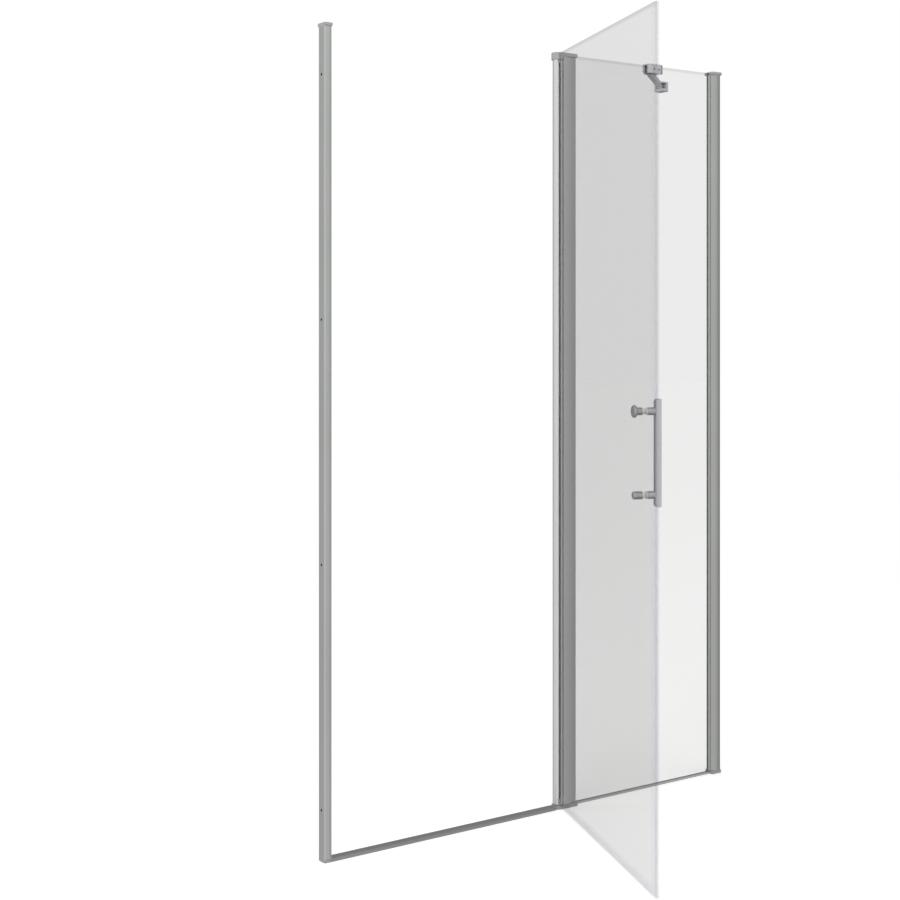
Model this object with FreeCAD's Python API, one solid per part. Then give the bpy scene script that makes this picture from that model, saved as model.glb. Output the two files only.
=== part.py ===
import FreeCAD, Part
import math
import os

# Shower door for a niche: a hinged glass door beside a fixed glass panel, in slim aluminium posts.
# Millimetres. X runs right along the front, Y into the shower, Z up. The glass stands on the plane Y = 0.
# Origin: middle of the opening on the glass plane, at the underside of the feet.
# The door is drawn closed, with its free edge towards -X, and then swung out to the open angle.

V = FreeCAD.Vector
UP = V(0, 0, 1)
ACROSS = V(1, 0, 0)
INWARD = V(0, 1, 0)

# Whole assembly
opening_width = 1200.0
overall_height = 1847.0
post_depth = 28.0
profile_wall = 1.6
cap_height = 8.0
cap_overhang = 2.5
cap_bevel = 2.2
cap_edge = 0.8
foot_height = 8.0
foot_edge_radius = 1.5
spigot_length = 10.0
slide_gap = 0.2
hair_gap = 0.1
cut_overrun = 1.0

# Left post: wall channel, strike profile and magnetic seal
left_channel_width = 13.4
channel_base = 2.0
channel_corner = 3.5
strike_setback = 4.0
strike_shadow_gap = 1.0
strike_wall = 1.4
strike_web_gap = 0.6
strike_nose = 3.6
strike_nose_corner = 0.8
left_cap_corner = 3.0
strike_slot = 5.0
seal_foot_width = 9.0
seal_foot_thickness = 1.2
seal_head_width = 10.0
seal_head_depth = 3.2
seal_head_corner = 0.8
strike_magnet_width = 7.0
strike_magnet_thickness = 1.8
magnet_cover = 0.7
magnet_end_margin = 4.0

# Screws that lock the posts to their wall channels, seen from inside the shower
adjust_screw_shank = 1.9
adjust_screw_length = 7.0
adjust_head_radius = 3.6
adjust_head_height = 2.0
adjust_head_top_radius = 2.8
adjust_recess_radius = 1.3
adjust_recess_depth = 1.1
adjust_screw_share = (0.10, 0.50, 0.90)

# Holes in the wall channels for the wall screws
wall_hole_radius = 3.0
wall_hole_count = 4
wall_hole_spacing = 540.0

# Hinge axis, column and door glass
hinge_from_middle = 63.0
open_angle = 70.0
column_radius = 13.0
column_wall = 1.6
column_slot_width = 9.0
column_slot_past_axis = 5.0
glass_thickness = 6.0
door_glass_bottom = 12.0
glass_into_cap = 5.0
glass_edge_chamfer = 0.8
closing_gap = 0.8
notch_width = 18.0
notch_margin = 1.0

# Pivots at the two ends of the column
plug_disc_radius = 12.6
plug_disc_thickness = 2.0
plug_key_height = 14.0
pin_radius = 3.0
pin_in_plug = 11.0
pin_out_of_plug = 7.0
pin_end_chamfer = 0.6
pin_running_gap = 0.05
pin_seat_gap = 0.02
bush_outer_radius = 6.0
bush_flange_radius = 9.0
bush_flange_thickness = 1.2
bush_depth = 6.4
pivot_end_gap = 0.3

# Middle post, its cap and its bottom block
post_to_column_gap = 0.6
lip_angle = 60.0
middle_flat_end = 10.0
middle_jaw_end = 49.0
jaw_tip_half = 7.5
pocket_half = 5.2
pocket_depth = 14.4
pocket_rib = 1.6
screw_port_radius = 3.0
screw_port_x = 24.0
screw_port_y = 9.6
cap_reach_radius = 16.0
middle_cap_end = 50.0
middle_cap_corner = 2.5
skirt_height = 9.2
skirt_end_angle = 3.0
cap_screw_shank = 1.6
cap_screw_length = 16.0
cap_screw_head_radius = 3.2
cap_screw_head_height = 2.0
cap_screw_sink = 0.5
cap_screw_recess_radius = 1.2
cap_screw_recess_depth = 1.2

# Right post
right_channel_width = 15.0
right_profile_wall_gap = 3.0
right_web_from_wall = 16.0
right_jaw_from_wall = 31.0
right_crest_from_wall = 12.7
right_edge_half = 12.2
right_front_wall_half = 10.6
right_cap_corner = 6.0
right_foot_corner = 3.0

# Fixed glass and its gaskets
glass_seat_height = 3.0
gasket_base = 1.4
gasket_lip = 4.5
gasket_lip_height = 0.5
glass_slot_gap = 0.3
panel_seal_leg = 1.2
panel_seal_height = 5.5

# Threshold strip between the left post and the hinge
threshold_height = 7.0
threshold_front = 14.0
threshold_back = 12.0
threshold_front_lip = 3.6
threshold_front_slope = 2.4
threshold_back_slope = 3.5
threshold_back_lip = 2.4
butt_gap = 0.3

# Seals on the door
edge_seal_length = 25.0
edge_seal_head = 10.5
edge_seal_leg = 1.0
edge_seal_corner = 0.8
edge_seal_wall = 0.8
edge_magnet_thickness = 2.8
edge_magnet_width = 6.0
edge_seal_chamber = 4.6
edge_seal_bottom = 10.0
bottom_seal_leg = 1.0
bottom_seal_height = 15.0
bottom_seal_gap = 1.4
bottom_seal_fin = 1.2
bottom_seal_start = 20.0
column_gasket_reach = 16.0
column_gasket_lip = 0.3
column_gasket_base = 1.2

# Handle on the outside of the door, knob and cap nut on the inside
handle_from_free_edge = 62.5
handle_middle_height = 914.5
handle_hole_spacing = 175.0
handle_hole_radius = 6.0
handle_bar_length = 226.0
handle_bar_width = 14.0
handle_bar_depth = 13.5
handle_bar_edge = 2.6
handle_bar_end_cut = 4.5
handle_bar_stand_off = 22.8
washer_thickness = 2.8
washer_radius = 7.6
washer_collar_gap = 0.2
stud_radius = 2.9
stud_reach = 16.0
stud_gap = 0.05
standoff_radius = 8.0
standoff_edge = 0.8
standoff_spigot_radius = 3.4
standoff_spigot_length = 5.0
inner_length = 20.0
knob_neck_radius = 8.0
knob_neck_length = 13.6
knob_disc_radius = 13.0
knob_edge = 1.4
cap_nut_radius = 8.2
cap_nut_edge = 1.6

# Stabiliser arm from the top of the fixed glass to the right-hand wall
clamp_from_middle = 373.2
clamp_width = 49.6
clamp_front = 14.0
clamp_front_corner = 9.0
clamp_facet = 11.0
clamp_back = 12.0
clamp_corner_cut = 5.0
clamp_below_glass_top = 19.5
clamp_above_glass_top = 3.5
clamp_edge = 0.8
clamp_lug_radius = 7.0
clamp_lug_thickness = 4.5
clamp_pad_thickness = 1.0
clamp_pad_rim = 2.6
clamp_screw_radius = 2.9
clamp_screw_margin = 9.5
clamp_screw_spread = 15.0
clamp_screw_hex = 1.5
clamp_screw_hex_depth = 2.4
arm_width = 13.0
arm_height = 14.5
arm_above_glass_top = 1.0
arm_edge = 0.9
arm_slot_gap = 0.3
arm_pivot_off_clamp = 5.2
arm_wall_pivot_y = 205.0
arm_wall_pivot_from_wall = 15.0
arm_pin_radius = 2.5
arm_pin_head_radius = 4.4
arm_pin_head_height = 2.4
arm_pin_hex = 1.6
arm_pin_gap = 0.1
arm_pin_top_depth = 1.2
bracket_depth = 22.0
bracket_width = 31.0
bracket_middle_y = 205.5
bracket_below_arm = 8.0
bracket_above_arm = 4.0
bracket_wall_plate = 8.0
bracket_far_wall = 6.0
bracket_edge = 1.0
bracket_hole_radius = 2.2
bracket_hole_spacing = 12.0

# Places that follow from the sizes above
left_wall = -opening_width / 2
right_wall = opening_width / 2
half_depth = post_depth / 2
glass_half = glass_thickness / 2
post_bottom = foot_height
post_top = overall_height - cap_height
post_height = post_top - post_bottom
glass_top = post_top + glass_into_cap
strike_start = left_wall + left_channel_width + strike_shadow_gap
strike_end = strike_start + strike_nose
strike_face = strike_end + seal_head_depth
axis_x = hinge_from_middle
concave_radius = column_radius + post_to_column_gap
middle_tip = axis_x + middle_jaw_end
middle_pocket = middle_tip - pocket_depth
right_web = right_wall - right_web_from_wall
right_tip = right_wall - right_jaw_from_wall
fixed_glass_left = middle_pocket + gasket_base
fixed_glass_right = right_web - profile_wall - gasket_base
column_bottom = foot_height + bush_flange_thickness + pivot_end_gap + plug_disc_thickness
column_top = post_top - bush_flange_thickness - pivot_end_gap - plug_disc_thickness
notch_low = column_bottom + plug_key_height + notch_margin
notch_high = column_top - plug_key_height - notch_margin
seal_tip = strike_face + closing_gap
door_free_edge = seal_tip + edge_seal_head
door_hinge_edge = axis_x + column_slot_past_axis - column_gasket_base
handle_x = door_free_edge + handle_from_free_edge
clamp_middle = clamp_from_middle
clamp_bottom = glass_top - clamp_below_glass_top
clamp_top = glass_top + clamp_above_glass_top
arm_top = glass_top + arm_above_glass_top
arm_bottom = arm_top - arm_height
bracket_bottom = arm_bottom - bracket_below_arm
bracket_top = arm_top + bracket_above_arm
bottom_seal_tip = threshold_height + bottom_seal_gap


def box(x0, x1, y0, y1, z0, z1):
    return Part.makeBox(x1 - x0, y1 - y0, z1 - z0, V(x0, y0, z0))


def rod(x, y, z, radius, length, direction=UP):
    return Part.makeCylinder(radius, length, V(x, y, z), direction)


def hex_socket(x, y, z, radius, depth, direction=UP):
    """Six-sided prism that is cut out of a screw's head; radius is to its corners."""
    corners = [V(radius * math.cos(math.radians(turn)), radius * math.sin(math.radians(turn)), 0)
               for turn in range(0, 360, 60)]
    prism = Part.Face(Part.makePolygon(corners + corners[:1])).extrude(UP * depth)
    prism.Placement = FreeCAD.Placement(V(x, y, z), FreeCAD.Rotation(UP, direction))
    return prism


def extrude(edges, z0, z1):
    """Raises a closed outline, given as edges in the plane Z = 0, from z0 to z1."""
    face = Part.Face(Part.Wire(edges))
    face.translate(V(0, 0, z0))
    return face.extrude(V(0, 0, z1 - z0))


def outline(points):
    """Straight edges round a closed outline of (x, y) points."""
    corners = [V(x, y, 0) for x, y in points]
    return [Part.LineSegment(a, b).toShape() for a, b in zip(corners, corners[1:] + corners[:1])]


def upright_edges(shape, places):
    """The vertical edges of a shape that stand at the given (x, y) places."""
    found = []
    for edge in shape.Edges:
        ends = [vertex.Point for vertex in edge.Vertexes]
        if len(ends) < 2 or abs(ends[0].z - ends[1].z) < hair_gap:
            continue
        for x, y in places:
            if all(math.hypot(end.x - x, end.y - y) < hair_gap for end in ends):
                found.append(edge)
    return found


def level_edges(shape, z):
    """The edges of a shape that lie at one height."""
    return [edge for edge in shape.Edges
            if abs(edge.BoundBox.ZMin - z) < hair_gap and abs(edge.BoundBox.ZMax - z) < hair_gap]


def mirror_y(shape):
    return shape.mirror(V(0, 0, 0), INWARD)


def both_sides(shape):
    """A shape and its copy on the other side of the glass plane, as one compound."""
    return Part.makeCompound([shape, mirror_y(shape)])


def swung(shape):
    """Swings a piece of the door from closed to its open rest position."""
    turned = shape.copy()
    turned.rotate(V(axis_x, 0, 0), UP, open_angle)
    return turned


def save(name, shape):
    shape.exportStep("parts/" + name + ".step")


def screw_heights(shares):
    return [post_bottom + post_height * share for share in shares]


def adjust_screw_set(x):
    """Low-headed screws through the shower-side leg of a wall channel, with their heads on its face."""
    screws = []
    for z in screw_heights(adjust_screw_share):
        head = Part.makeCone(adjust_head_radius, adjust_head_top_radius, adjust_head_height,
                             V(x, half_depth, z), INWARD)
        head_face = half_depth + adjust_head_height
        recess = hex_socket(x, head_face, z, adjust_recess_radius, adjust_recess_depth, -INWARD)
        shank = rod(x, half_depth, z, adjust_screw_shank, adjust_screw_length, -INWARD)
        screws.append(head.cut(recess).fuse(shank).removeSplitter())
    return screws


def adjust_holes(x):
    """Clearance for the same screws, cut through the shower-side wall of a profile."""
    return [rod(x, half_depth + cut_overrun, z, adjust_screw_shank + hair_gap,
                adjust_screw_length + cut_overrun, -INWARD) for z in screw_heights(adjust_screw_share)]


def wall_holes(x, length, direction):
    """One row of wall-screw holes up the base of a wall channel, spread evenly about its middle."""
    middle = post_bottom + post_height / 2
    first = middle - wall_hole_spacing * (wall_hole_count - 1) / 2
    return [rod(x, 0, first + wall_hole_spacing * i, wall_hole_radius, length, direction)
            for i in range(wall_hole_count)]


# Left post

left_screw_x = left_wall + left_channel_width / 2


def left_wall_channel():
    """U-shaped channel screwed to the wall, open towards the door."""
    outer = box(left_wall, left_wall + left_channel_width, -half_depth, half_depth, post_bottom, post_top)
    mouth = left_wall + left_channel_width
    outer = outer.makeFillet(channel_corner, upright_edges(outer, [(left_wall, -half_depth),
                                                                   (left_wall, half_depth)]))
    inside = box(left_wall + channel_base, mouth + cut_overrun, profile_wall - half_depth,
                 half_depth - profile_wall, post_bottom - cut_overrun, post_top + cut_overrun)
    holes = wall_holes(left_wall - cut_overrun, channel_base + 2 * cut_overrun, ACROSS)
    return outer.cut([inside] + holes + adjust_holes(left_screw_x))


def left_strike_profile():
    """Profile that slides in the left channel; its nose plate holds the magnetic seal."""
    leg = half_depth - profile_wall - slide_gap
    legs = box(left_wall + strike_setback, strike_start, -leg, leg, post_bottom, post_top)
    web_front = strike_start - seal_foot_thickness - strike_web_gap
    low, high = post_bottom - cut_overrun, post_top + cut_overrun
    hollow = box(left_wall, web_front - strike_wall, strike_wall - leg, leg - strike_wall, low, high)
    seal_groove = box(web_front, strike_start, -seal_foot_width / 2 - slide_gap,
                      seal_foot_width / 2 + slide_gap, low, high)
    nose = box(strike_start, strike_end, -half_depth, half_depth, post_bottom, post_top)
    nose = nose.makeFillet(strike_nose_corner, upright_edges(nose, [(strike_end, -half_depth),
                                                                    (strike_end, half_depth)]))
    slot = box(web_front, strike_end + cut_overrun, -strike_slot / 2, strike_slot / 2, low, high)
    profile = legs.cut([hollow, seal_groove]).fuse(nose).removeSplitter()
    return profile.cut([slot] + adjust_holes(left_screw_x))


def left_magnet_seal():
    """Soft seal: a foot behind the nose plate, a neck in its slot and a head that holds the magnet."""
    neck = strike_slot / 2 - hair_gap
    foot_x = strike_start - seal_foot_thickness
    foot_half = seal_foot_width / 2
    head_half = seal_head_width / 2
    points = [(foot_x, -foot_half), (strike_start, -foot_half), (strike_start, -neck), (strike_end, -neck),
              (strike_end, -head_half), (strike_face, -head_half), (strike_face, head_half),
              (strike_end, head_half), (strike_end, neck), (strike_start, neck), (strike_start, foot_half),
              (foot_x, foot_half)]
    seal = extrude(outline(points), post_bottom, post_top)
    seal = seal.makeFillet(seal_head_corner, upright_edges(seal, [(strike_face, -head_half),
                                                                  (strike_face, head_half)]))
    return seal.cut(left_magnet_space(post_bottom - cut_overrun, post_top + cut_overrun))


def left_magnet_space(z0, z1):
    outer_x = strike_face - magnet_cover
    return box(outer_x - strike_magnet_thickness, outer_x, -strike_magnet_width / 2,
               strike_magnet_width / 2, z0, z1)


def left_magnet_strip():
    return left_magnet_space(post_bottom + magnet_end_margin, post_top - magnet_end_margin)


def side_cap(x0, x1, wall_x, tip_x, tip_corner):
    """Push-in end cap over a wall post: wider than the post, rounded at its tip, flush with the wall."""
    reach = half_depth + cap_overhang
    plate = box(x0, x1, -reach, reach, post_top, overall_height)
    plate = plate.makeFillet(tip_corner, upright_edges(plate, [(tip_x, -reach), (tip_x, reach)]))
    low = [edge for edge in level_edges(plate, post_top) if not edge_on_wall(edge, wall_x)]
    plate = plate.makeChamfer(cap_bevel, low)
    high = [edge for edge in level_edges(plate, overall_height) if not edge_on_wall(edge, wall_x)]
    return plate.makeChamfer(cap_edge, high)


def edge_on_wall(edge, wall_x):
    return abs(edge.BoundBox.XMin - wall_x) < hair_gap and abs(edge.BoundBox.XMax - wall_x) < hair_gap


def left_spigot(z0, z1):
    """Tongue that plugs the hollow of the strike profile."""
    half = half_depth - profile_wall - slide_gap - strike_wall - slide_gap
    web_back = strike_start - seal_foot_thickness - strike_web_gap - strike_wall
    return box(left_wall + channel_base + slide_gap, web_back - slide_gap, -half, half, z0, z1)


def left_cap():
    tip = strike_end + cap_overhang
    plate = side_cap(left_wall, tip, left_wall, tip, left_cap_corner)
    return plate.fuse(left_spigot(post_top - spigot_length, post_top + cut_overrun)).removeSplitter()


def left_foot():
    foot = box(left_wall, strike_end, -half_depth, half_depth, 0, foot_height)
    foot = foot.makeFillet(foot_edge_radius, upright_edges(foot, [(strike_end, -half_depth),
                                                                  (strike_end, half_depth)]))
    foot = foot.makeFillet(channel_corner, upright_edges(foot, [(left_wall, -half_depth),
                                                                (left_wall, half_depth)]))
    return foot.fuse(left_spigot(foot_height - cut_overrun, foot_height + spigot_length)).removeSplitter()


# Middle post, which hides the turning column from behind and holds the fixed glass

def swept_side(flat_x, tip_x, side):
    """Arc that leaves the flat face of a post at flat_x and curves in to the tip of its jaw."""
    run = abs(tip_x - flat_x)
    drop = half_depth - jaw_tip_half
    radius = (run ** 2 + drop ** 2) / (2 * drop)
    turn = math.asin(run / radius) / 2
    direction = 1 if tip_x > flat_x else -1
    middle = V(flat_x + direction * radius * math.sin(turn),
               side * (half_depth - radius * (1 - math.cos(turn))), 0)
    return Part.Arc(V(flat_x, side * half_depth, 0), middle, V(tip_x, side * jaw_tip_half, 0)).toShape()


def line(x0, y0, x1, y1):
    return Part.LineSegment(V(x0, y0, 0), V(x1, y1, 0)).toShape()


def jaw_chamber(tip_x, root_x):
    """Hollow between the glass pocket of a post and its curved skin, for the +Y side."""
    inner = pocket_half + pocket_rib
    toward = 1 if tip_x > root_x else -1
    far = root_x + toward * (abs(tip_x - root_x) - 2 * pocket_rib) / 2
    high = (inner + half_depth) / 2 - hair_gap
    return outline([(root_x, inner), (far, inner), (far, (inner + high) / 2), (root_x, high)])


def middle_chamber(z0, z1):
    """Hollow between the column's lips and the glass pocket, which narrows as the post's skin curves in."""
    start, end = axis_x, middle_pocket - profile_wall
    reach = half_depth - profile_wall
    drop = (half_depth - jaw_tip_half) * (end - axis_x - middle_flat_end) / (middle_jaw_end - middle_flat_end)
    low = reach - drop
    return extrude(outline([(start, -reach), (end, -low), (end, low), (start, reach)]), z0, z1)


def middle_post():
    """Extruded post with a hollow left face that wraps the column and a pocket for the fixed glass."""
    lip = math.radians(lip_angle)
    lip_x = axis_x + concave_radius * math.cos(lip)
    lip_y = concave_radius * math.sin(lip)
    shoulder_x = axis_x + half_depth / math.tan(lip)
    flat_x = axis_x + middle_flat_end
    edges = [line(shoulder_x, -half_depth, flat_x, -half_depth),
             swept_side(flat_x, middle_tip, -1),
             line(middle_tip, -jaw_tip_half, middle_tip, -pocket_half),
             line(middle_tip, -pocket_half, middle_pocket, -pocket_half),
             line(middle_pocket, -pocket_half, middle_pocket, pocket_half),
             line(middle_pocket, pocket_half, middle_tip, pocket_half),
             line(middle_tip, pocket_half, middle_tip, jaw_tip_half),
             swept_side(flat_x, middle_tip, 1),
             line(flat_x, half_depth, shoulder_x, half_depth),
             line(shoulder_x, half_depth, lip_x, lip_y),
             Part.Arc(V(lip_x, lip_y, 0), V(axis_x + concave_radius, 0, 0), V(lip_x, -lip_y, 0)).toShape(),
             line(lip_x, -lip_y, shoulder_x, -half_depth)]
    post = extrude(Part.__sortEdges__(edges), post_bottom, post_top)
    low, high = post_bottom - cut_overrun, post_top + cut_overrun
    chamber = middle_chamber(low, high).cut(rod(axis_x, 0, low, concave_radius + profile_wall, high - low))
    for x, y in port_places():
        chamber = chamber.cut(rod(x, y, low, screw_port_radius, high - low))
    post = post.cut(chamber)
    holes = [rod(x, y, low, cap_screw_shank + hair_gap, high - low) for x, y in port_places()]
    jaw = extrude(jaw_chamber(middle_tip, middle_pocket), low, high)
    return post.cut(holes + [jaw, mirror_y(jaw)])


def cap_outline():
    """Shared outline of the cap and block: round about the hinge axis, with a square right end."""
    end = axis_x + middle_cap_end
    start = axis_x
    edges = [line(start, -cap_reach_radius, end, -cap_reach_radius),
             line(end, -cap_reach_radius, end, cap_reach_radius),
             line(end, cap_reach_radius, start, cap_reach_radius),
             Part.Arc(V(start, cap_reach_radius, 0), V(start - cap_reach_radius, 0, 0),
                      V(start, -cap_reach_radius, 0)).toShape()]
    return Part.__sortEdges__(edges)


def middle_plate(z0, z1):
    plate = extrude(cap_outline(), z0, z1)
    end = axis_x + middle_cap_end
    corners = upright_edges(plate, [(end, -cap_reach_radius), (end, cap_reach_radius)])
    return plate.makeFillet(middle_cap_corner, corners)


def skirt():
    """Collar that hangs from the cap round the door side of the column."""
    sweep = 360 - 2 * (lip_angle + skirt_end_angle)
    low = post_top - skirt_height
    outer = Part.makeCylinder(cap_reach_radius, skirt_height, V(0, 0, low), UP, sweep)
    inner = Part.makeCylinder(concave_radius, skirt_height, V(0, 0, low), UP, 360)
    ring = outer.cut(inner)
    ring.rotate(V(0, 0, 0), UP, lip_angle + skirt_end_angle)
    ring.translate(V(axis_x, 0, 0))
    return ring


def port_places():
    return [(axis_x + screw_port_x, side * screw_port_y) for side in (-1, 1)]


def port_holes(z, radius, length, direction):
    return [rod(x, y, z, radius, length, direction) for x, y in port_places()]


def middle_top_cap():
    """Cast cap that carries the upper bush and is screwed down on the middle post."""
    cap = middle_plate(post_top, overall_height)
    cap = cap.makeChamfer(cap_edge, level_edges(cap, overall_height))
    cap = cap.fuse(skirt()).removeSplitter()
    bush_hole = rod(axis_x, 0, post_top, bush_outer_radius + hair_gap, bush_depth + hair_gap)
    slot_half = glass_half + glass_slot_gap
    glass_slot = box(fixed_glass_left - glass_slot_gap, axis_x + middle_cap_end + cut_overrun,
                     -slot_half, slot_half, post_top - cut_overrun, glass_top + glass_slot_gap)
    screw_holes = port_holes(post_top - cut_overrun, cap_screw_shank + hair_gap,
                             cap_height + 2 * cut_overrun, UP)
    sinks = port_holes(overall_height - cap_screw_sink - cap_screw_head_height,
                       cap_screw_head_radius + hair_gap, cap_height, UP)
    return cap.cut([bush_hole, glass_slot] + screw_holes + sinks)


def middle_bottom_block():
    """Foot under the column and the middle post; it carries the lower bush and seats the fixed glass."""
    block = middle_plate(0, foot_height)
    bush_hole = rod(axis_x, 0, foot_height, bush_outer_radius + hair_gap, bush_depth + hair_gap, -UP)
    slot_half = glass_half + glass_slot_gap
    glass_slot = box(fixed_glass_left - glass_slot_gap, axis_x + middle_cap_end + cut_overrun,
                     -slot_half, slot_half, glass_seat_height, foot_height + cut_overrun)
    screw_holes = port_holes(-cut_overrun, cap_screw_shank + hair_gap, foot_height + 2 * cut_overrun, UP)
    sinks = port_holes(cap_screw_sink + cap_screw_head_height,
                       cap_screw_head_radius + hair_gap, foot_height, -UP)
    return block.cut([bush_hole, glass_slot] + screw_holes + sinks)


def port_screws(face_z, direction):
    """Two flat-headed screws at the screw ports, with their heads at face_z and shanks along direction."""
    screws = []
    for x, y in port_places():
        head = rod(x, y, face_z, cap_screw_head_radius, cap_screw_head_height, direction)
        shank = rod(x, y, face_z, cap_screw_shank, cap_screw_length, direction)
        recess = hex_socket(x, y, face_z, cap_screw_recess_radius, cap_screw_recess_depth, direction)
        screws.append(head.fuse(shank).removeSplitter().cut(recess))
    return Part.makeCompound(screws)


def cap_screws():
    return port_screws(overall_height - cap_screw_sink, -UP)


def bottom_block_screws():
    return port_screws(cap_screw_sink, UP)


def pivot_bush(z, direction):
    """Flanged plastic bush: its sleeve sits in the cap or block and its flange faces the column."""
    sleeve = rod(axis_x, 0, z, bush_outer_radius, bush_depth, direction)
    flange = rod(axis_x, 0, z, bush_flange_radius, bush_flange_thickness, -direction)
    bore = rod(axis_x, 0, z, pin_radius + pin_running_gap, bush_depth, direction)
    bore_out = rod(axis_x, 0, z, pin_radius + pin_running_gap, bush_flange_thickness, -direction)
    return sleeve.fuse(flange).removeSplitter().cut([bore, bore_out])


# Right post

right_screw_x = right_wall - right_channel_width / 2


def right_wall_channel():
    """U-shaped channel screwed to the wall, which the right profile sleeves over."""
    front = slide_gap - right_front_wall_half
    back = half_depth - profile_wall - slide_gap
    mouth = right_wall - right_channel_width
    outer = box(mouth, right_wall, front, back, post_bottom, post_top)
    inside = box(mouth - cut_overrun, right_wall - channel_base, front + profile_wall, back - profile_wall,
                 post_bottom - cut_overrun, post_top + cut_overrun)
    holes = wall_holes(right_wall + cut_overrun, channel_base + 2 * cut_overrun, -ACROSS)
    return outer.cut([inside] + holes + adjust_holes(right_screw_x))


def right_glass_profile():
    """Post that sleeves over the right channel and grips the fixed glass; its front face is one bow."""
    back = right_wall - right_profile_wall_gap
    pocket = right_web - profile_wall
    crest_x = right_wall - right_crest_from_wall
    front_bow = Part.Arc(V(right_tip, -jaw_tip_half, 0), V(crest_x, -half_depth, 0),
                         V(back, -right_edge_half, 0))
    edges = [front_bow.toShape(),
             line(right_tip, -jaw_tip_half, right_tip, -pocket_half),
             line(right_tip, -pocket_half, pocket, -pocket_half),
             line(pocket, -pocket_half, pocket, pocket_half),
             line(pocket, pocket_half, right_tip, pocket_half),
             line(right_tip, pocket_half, right_tip, jaw_tip_half),
             swept_side(crest_x, right_tip, 1),
             line(crest_x, half_depth, back, half_depth),
             line(back, half_depth, back, -right_edge_half)]
    profile = extrude(Part.__sortEdges__(edges), post_bottom, post_top)
    low, high = post_bottom - cut_overrun, post_top + cut_overrun
    sleeve = box(right_web, back + cut_overrun, -right_front_wall_half, half_depth - profile_wall, low, high)
    jaw = extrude(jaw_chamber(right_tip, pocket), low, high)
    return profile.cut([sleeve, jaw, mirror_y(jaw)] + adjust_holes(right_screw_x))


def right_spigot(z0, z1):
    """Tongue that plugs the hollow of the right wall channel."""
    front = profile_wall + 2 * slide_gap - right_front_wall_half
    back = half_depth - 2 * profile_wall - 2 * slide_gap
    return box(right_web + slide_gap, right_wall - channel_base - slide_gap, front, back, z0, z1)


def right_glass_slot(z0, z1):
    slot_half = glass_half + glass_slot_gap
    return box(right_tip - cap_overhang - cut_overrun, fixed_glass_right + glass_slot_gap,
               -slot_half, slot_half, z0, z1)


def right_cap():
    tip = right_tip - cap_overhang
    plate = side_cap(tip, right_wall, right_wall, tip, right_cap_corner)
    cap = plate.fuse(right_spigot(post_top - spigot_length, post_top + cut_overrun)).removeSplitter()
    return cap.cut(right_glass_slot(post_top - cut_overrun, glass_top + glass_slot_gap))


def right_foot():
    foot = box(right_tip, right_wall, -half_depth, half_depth, 0, foot_height)
    foot = foot.makeFillet(right_foot_corner, upright_edges(foot, [(right_tip, -half_depth),
                                                                   (right_tip, half_depth)]))
    foot = foot.fuse(right_spigot(foot_height - cut_overrun, foot_height + spigot_length)).removeSplitter()
    return foot.cut(right_glass_slot(glass_seat_height, foot_height + cut_overrun))


# Fixed glass and what holds it

def fixed_glass():
    glass = box(fixed_glass_left, fixed_glass_right, -glass_half, glass_half, glass_seat_height, glass_top)
    return glass.makeChamfer(glass_edge_chamfer, long_top_edges(glass))


def long_top_edges(glass):
    return [edge for edge in level_edges(glass, glass_top) if edge.Length > glass_thickness + hair_gap]


def glazing_gasket(root_x, tip_x):
    """U-shaped glazing gasket: a base and two legs in the pocket, with lips that swell past the jaws."""
    toward = 1 if tip_x > root_x else -1
    base_x = root_x + toward * gasket_base
    lip_x = tip_x + toward * gasket_lip
    swell = pocket_half + gasket_lip_height
    middle_lip = tip_x + toward * gasket_lip / 2
    outer = [(root_x, -pocket_half), (tip_x, -pocket_half), (tip_x, -swell), (middle_lip, -swell),
             (lip_x, -glass_half), (base_x, -glass_half), (base_x, glass_half), (lip_x, glass_half),
             (middle_lip, swell), (tip_x, swell), (tip_x, pocket_half), (root_x, pocket_half)]
    return extrude(outline(outer), post_bottom, post_top)


def panel_bottom_seal():
    """U-shaped sealing strip under the fixed glass, between the bottom block and the right foot."""
    half = glass_half + panel_seal_leg
    start = axis_x + middle_cap_end + slide_gap
    strip = box(start, right_tip - slide_gap, -half, half, 0, panel_seal_height)
    groove = box(start - cut_overrun, right_wall, -glass_half, glass_half, glass_seat_height,
                 panel_seal_height + cut_overrun)
    return strip.cut(groove)


def threshold_strip():
    """Low extruded bar between the left foot and the hinge block, which stops water under the door."""
    profile = [(-threshold_front, 0), (-threshold_front, threshold_front_lip),
               (threshold_front_slope - threshold_front, threshold_height),
               (threshold_back - threshold_back_slope, threshold_height),
               (threshold_back, threshold_back_lip), (threshold_back, 0)]
    start = strike_end + butt_gap
    end = axis_x - cap_reach_radius - butt_gap
    corners = [V(start, y, z) for y, z in profile]
    face = Part.Face(Part.makePolygon(corners + corners[:1]))
    return face.extrude(V(end - start, 0, 0))


# Stabiliser

def arm_pivots():
    """Places of the arm's two pivots: behind the rear jaw of the clamp, and in the wall bracket."""
    return [(clamp_middle - arm_pivot_off_clamp, clamp_back + arm_slot_gap + arm_width / 2),
            (right_wall - arm_wall_pivot_from_wall, arm_wall_pivot_y)]


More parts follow.
